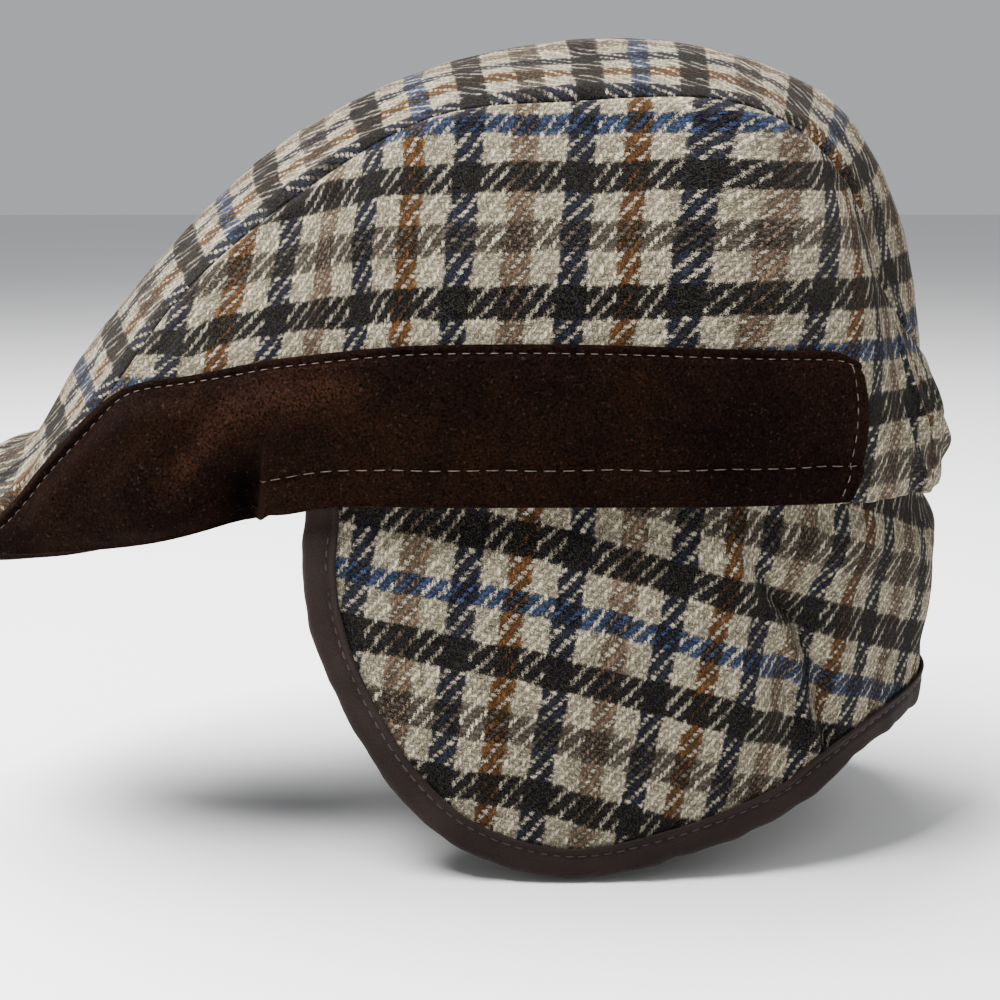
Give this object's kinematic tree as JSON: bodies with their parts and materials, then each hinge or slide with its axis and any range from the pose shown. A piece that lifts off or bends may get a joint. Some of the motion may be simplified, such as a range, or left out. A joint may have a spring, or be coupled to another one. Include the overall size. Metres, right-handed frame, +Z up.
{
  "type": "earflap flat cap",
  "caption": "Tweed flat cap with a duckbill peak, suede side bands and a bound ear and neck flap folded down.",
  "frame": {"origin": "middle of the head opening, in the plane of the rim, where the head holds the cap", "axes": "+Z up through the crown, -Y to the front over the peak, +X to the wearer's left"},
  "size_m": [0.1828, 0.2708, 0.2081],
  "materials": {
    "tweed": "checked woollen twill, brushed and hairy",
    "suede": "dark brown suede with a short nap",
    "tape": "dark brown twill tape, folded over the edge"
  },
  "bodies": {
    "root": {"crown_top": "tweed", "crown_side_left": "tweed", "crown_side_right": "tweed", "suede_band_left": "suede", "suede_band_right": "suede", "peak": "suede", "ear_flap": "tweed", "flap_binding": "tape"}
  },
  "joints": []
}
